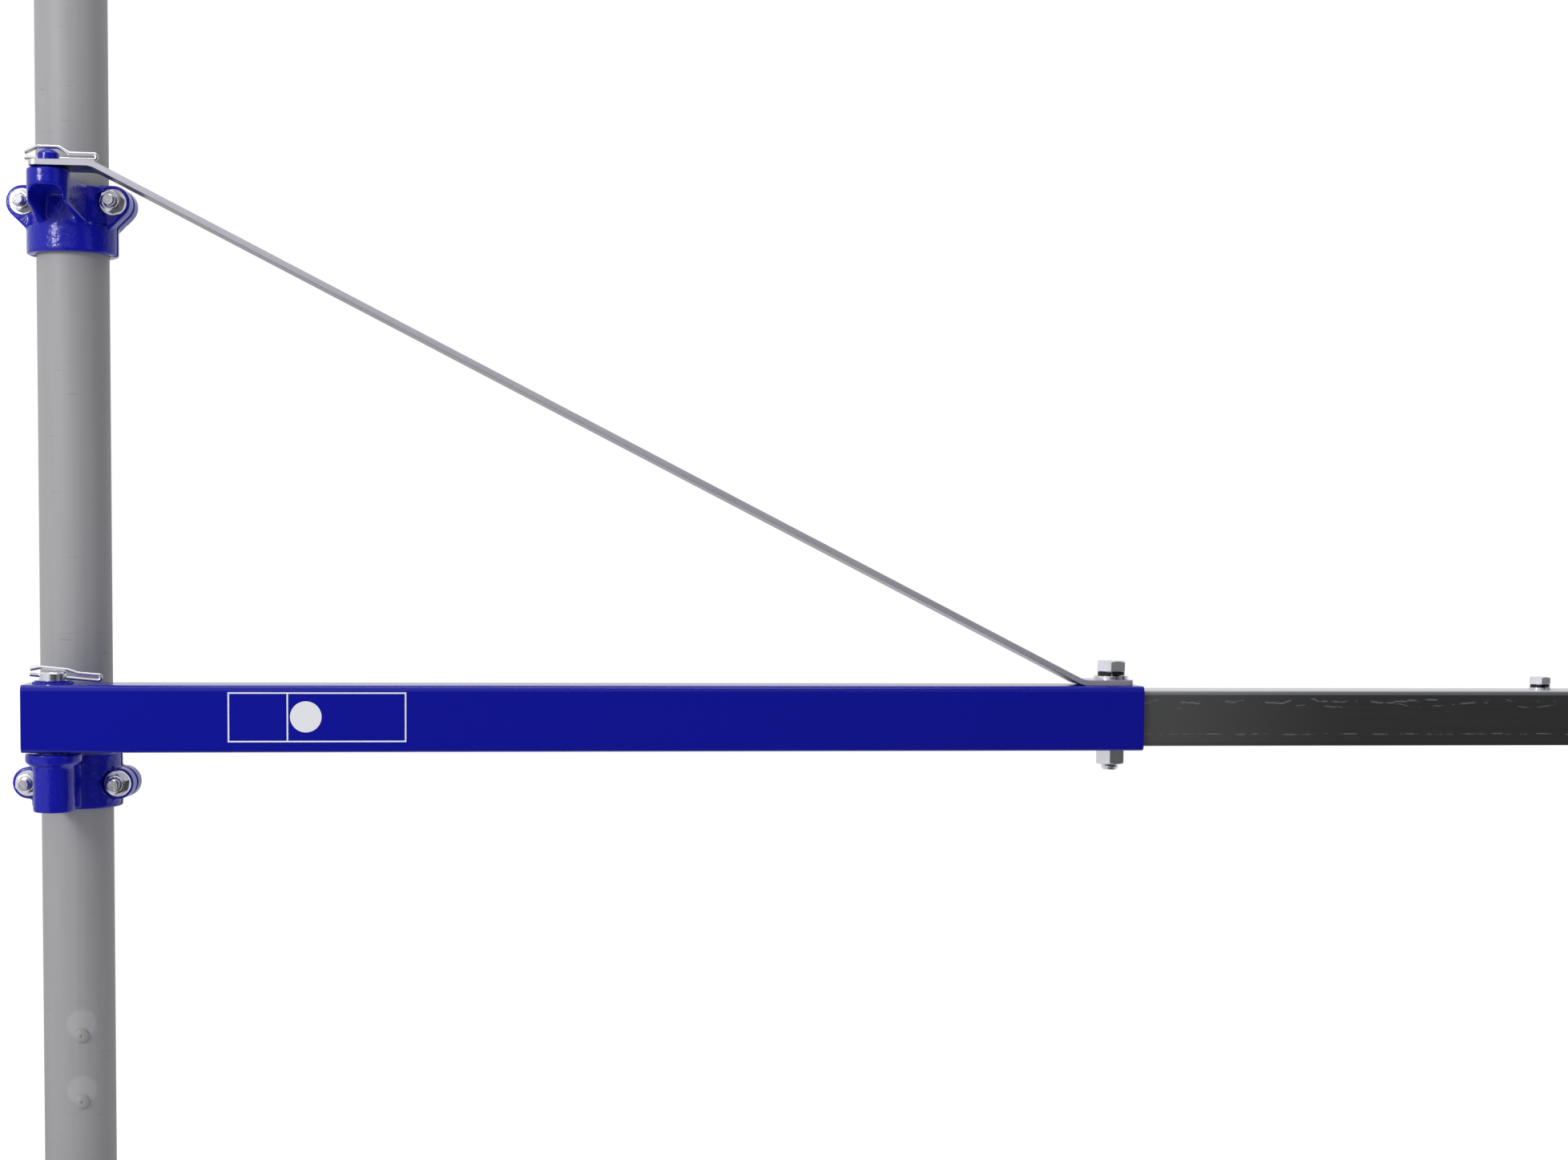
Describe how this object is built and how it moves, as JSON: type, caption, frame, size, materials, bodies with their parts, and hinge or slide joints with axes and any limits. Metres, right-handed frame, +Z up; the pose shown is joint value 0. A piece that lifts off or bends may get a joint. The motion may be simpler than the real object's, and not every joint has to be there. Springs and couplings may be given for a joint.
{
  "type": "hoist swing arm",
  "caption": "Square swing arm with a telescopic end and a flat strut, hinged on two clamps round a post, to hang a hoist from.",
  "frame": {"origin": "centre of the post's lower end, on the post's axis", "axes": "+Z up along the post, +X along the arm away from the post at rest, +Y away from the side that the pivot pins stand on"},
  "size_m": [1.105, 0.1107, 0.84],
  "materials": {
    "post_paint": "satin grey paint",
    "post_rivet": "dull",
    "arm_enamel": "gloss blue enamel",
    "extension_paint": "dark grey paint",
    "strut_zinc": "zinc plated bar",
    "fastener_zinc": "bright zinc plate",
    "spring_steel": "dark phosphated",
    "clip_steel": "bright wire"
  },
  "bodies": {
    "post": {"post": "post_paint", "post_rivets": "post_rivet", "upper_clamp_front": "arm_enamel", "upper_clamp_rear": "arm_enamel", "upper_clamp_bolt_left": "fastener_zinc", "upper_clamp_bolt_right": "fastener_zinc", "upper_clamp_nut_left": "fastener_zinc", "upper_clamp_nut_right": "fastener_zinc", "upper_pivot_pin": "arm_enamel", "upper_clip": "clip_steel", "lower_clamp_front": "arm_enamel", "lower_clamp_rear": "arm_enamel", "lower_clamp_bolt_left": "fastener_zinc", "lower_clamp_bolt_right": "fastener_zinc", "lower_clamp_nut_left": "fastener_zinc", "lower_clamp_nut_right": "fastener_zinc", "lower_pivot_pin": "fastener_zinc", "lower_clip": "clip_steel"},
    "arm": {"arm_tube": "arm_enamel", "pivot_bush": "arm_enamel", "extension_tube": "extension_paint", "strut": "strut_zinc", "strut_bolt": "fastener_zinc", "strut_spring_washer": "spring_steel", "strut_washer": "fastener_zinc", "strut_nut": "fastener_zinc", "stop_screw": "fastener_zinc", "stop_spring_washer": "spring_steel", "stop_washer": "fastener_zinc", "stop_nut": "fastener_zinc"}
  },
  "joints": [
    {"name": "swing", "type": "hinge", "parent": "post", "child": "arm", "pos_m": [-0.00606, -0.05768, 0.33], "axis": [0, 0, 1], "range_deg": [-192, 0]}
  ]
}
